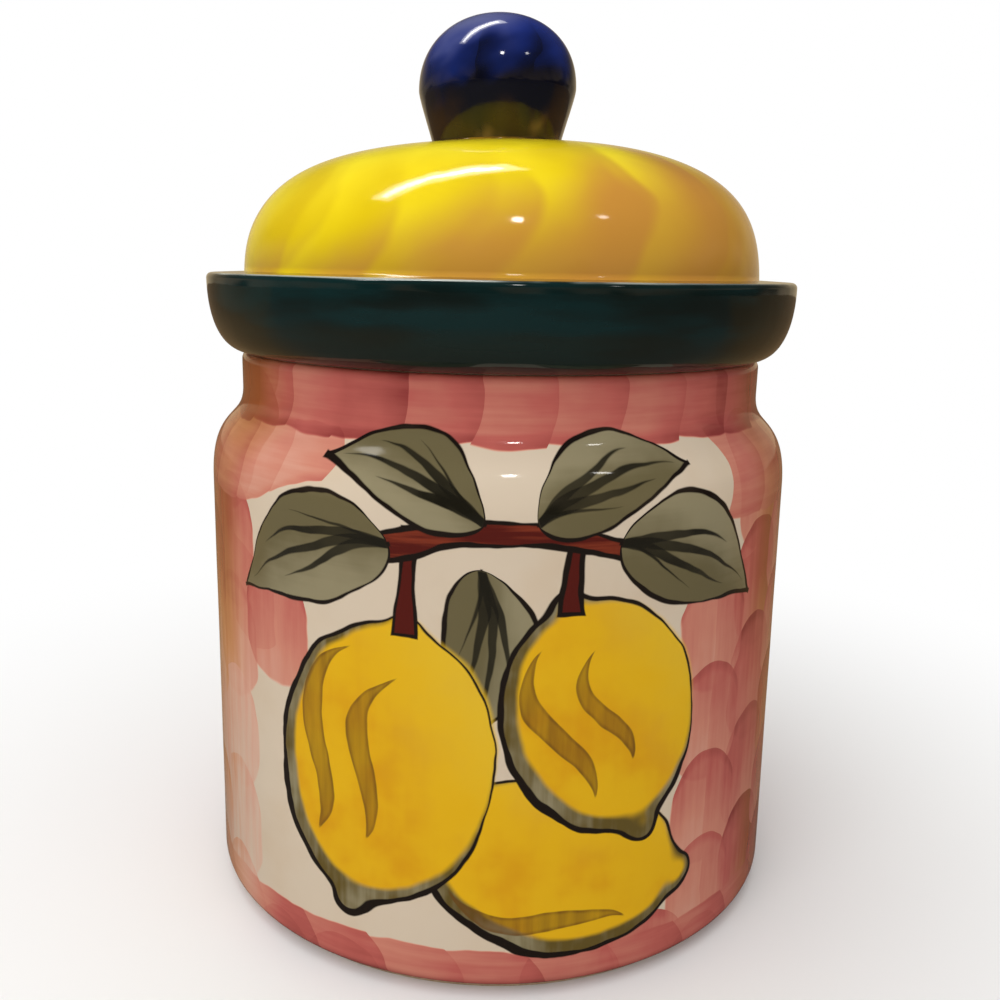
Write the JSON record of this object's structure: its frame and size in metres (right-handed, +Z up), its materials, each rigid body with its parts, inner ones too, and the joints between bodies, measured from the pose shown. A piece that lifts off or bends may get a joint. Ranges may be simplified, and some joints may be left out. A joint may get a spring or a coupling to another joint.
{
  "type": "cookie jar",
  "caption": "Round glazed ceramic cookie jar with a painted body, a domed lift-off lid with an overhanging rim, a ball knob and a sealing ring inside the mouth.",
  "frame": {"origin": "centre of the foot ring, on the surface that the jar stands on", "axes": "+Z up along the axis that every piece is turned about; the painted panel faces -Y, and +X is to the right of someone who looks at it"},
  "size_m": [0.1722, 0.1722, 0.2503],
  "materials": {
    "painted_glaze": "gloss glaze over hand-painted rose dabs and a cream panel, with an unglazed foot",
    "yellow_glaze": "gloss yellow glaze on the dome, dark teal on the rim",
    "cobalt_glaze": "gloss cobalt blue glaze",
    "silicone": "satin translucent silicone"
  },
  "bodies": {
    "jar": {"jar_body": "painted_glaze"},
    "seal": {"lid_seal": "silicone"},
    "lid": {"lid_shell": "yellow_glaze", "lid_knob": "cobalt_glaze"}
  },
  "joints": [
    {"name": "lid_lift", "type": "slide", "parent": "jar", "child": "seal", "axis": [0, 0, 1], "range_m": [0, 0.16]},
    {"name": "lid_turn", "type": "hinge", "parent": "seal", "child": "lid", "pos_m": [0, 0, 0.1571], "axis": [0, 0, 1], "continuous": true}
  ]
}
